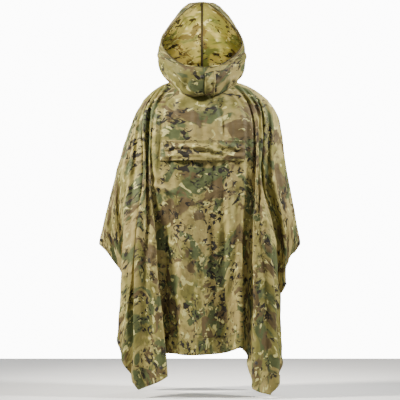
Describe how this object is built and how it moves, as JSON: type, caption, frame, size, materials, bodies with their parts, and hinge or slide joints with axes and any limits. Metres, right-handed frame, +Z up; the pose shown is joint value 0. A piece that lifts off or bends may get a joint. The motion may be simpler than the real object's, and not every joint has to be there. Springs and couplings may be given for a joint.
{
  "type": "rain poncho",
  "caption": "Hooded rain poncho in its worn shape: a wide cloth rectangle folded over the shoulders, with hood, chest flap, hem bands, corner patches and edge snaps.",
  "frame": {"origin": "base of the neck, midway between the shoulders that hold the poncho up", "axes": "+X to the right of a viewer in front, +Y to the back, +Z up; the face opening looks along -Y"},
  "size_m": [0.764, 0.3911, 1.477],
  "materials": {
    "coated_cloth": null,
    "patch_cloth": "matt coated woven cloth, a second layer at the corners",
    "snap_metal": "semi-gloss black"
  },
  "bodies": {
    "root": {"front_panel": "coated_cloth", "back_panel": "coated_cloth", "hood_left": "coated_cloth", "hood_right": "coated_cloth", "neck_placket": "coated_cloth", "chest_flap": "coated_cloth", "front_hem_band": "coated_cloth", "back_hem_band": "coated_cloth", "front_left_patch": "patch_cloth", "front_right_patch": "patch_cloth", "back_left_patch": "patch_cloth", "back_right_patch": "patch_cloth", "chin_snap": "snap_metal", "left_wing_snap": "snap_metal", "left_side_snap_1": "snap_metal", "left_side_snap_2": "snap_metal", "left_side_snap_3": "snap_metal", "left_hem_snap": "snap_metal", "right_wing_snap": "snap_metal", "right_side_snap": "snap_metal", "right_hem_snap": "snap_metal"}
  },
  "joints": []
}
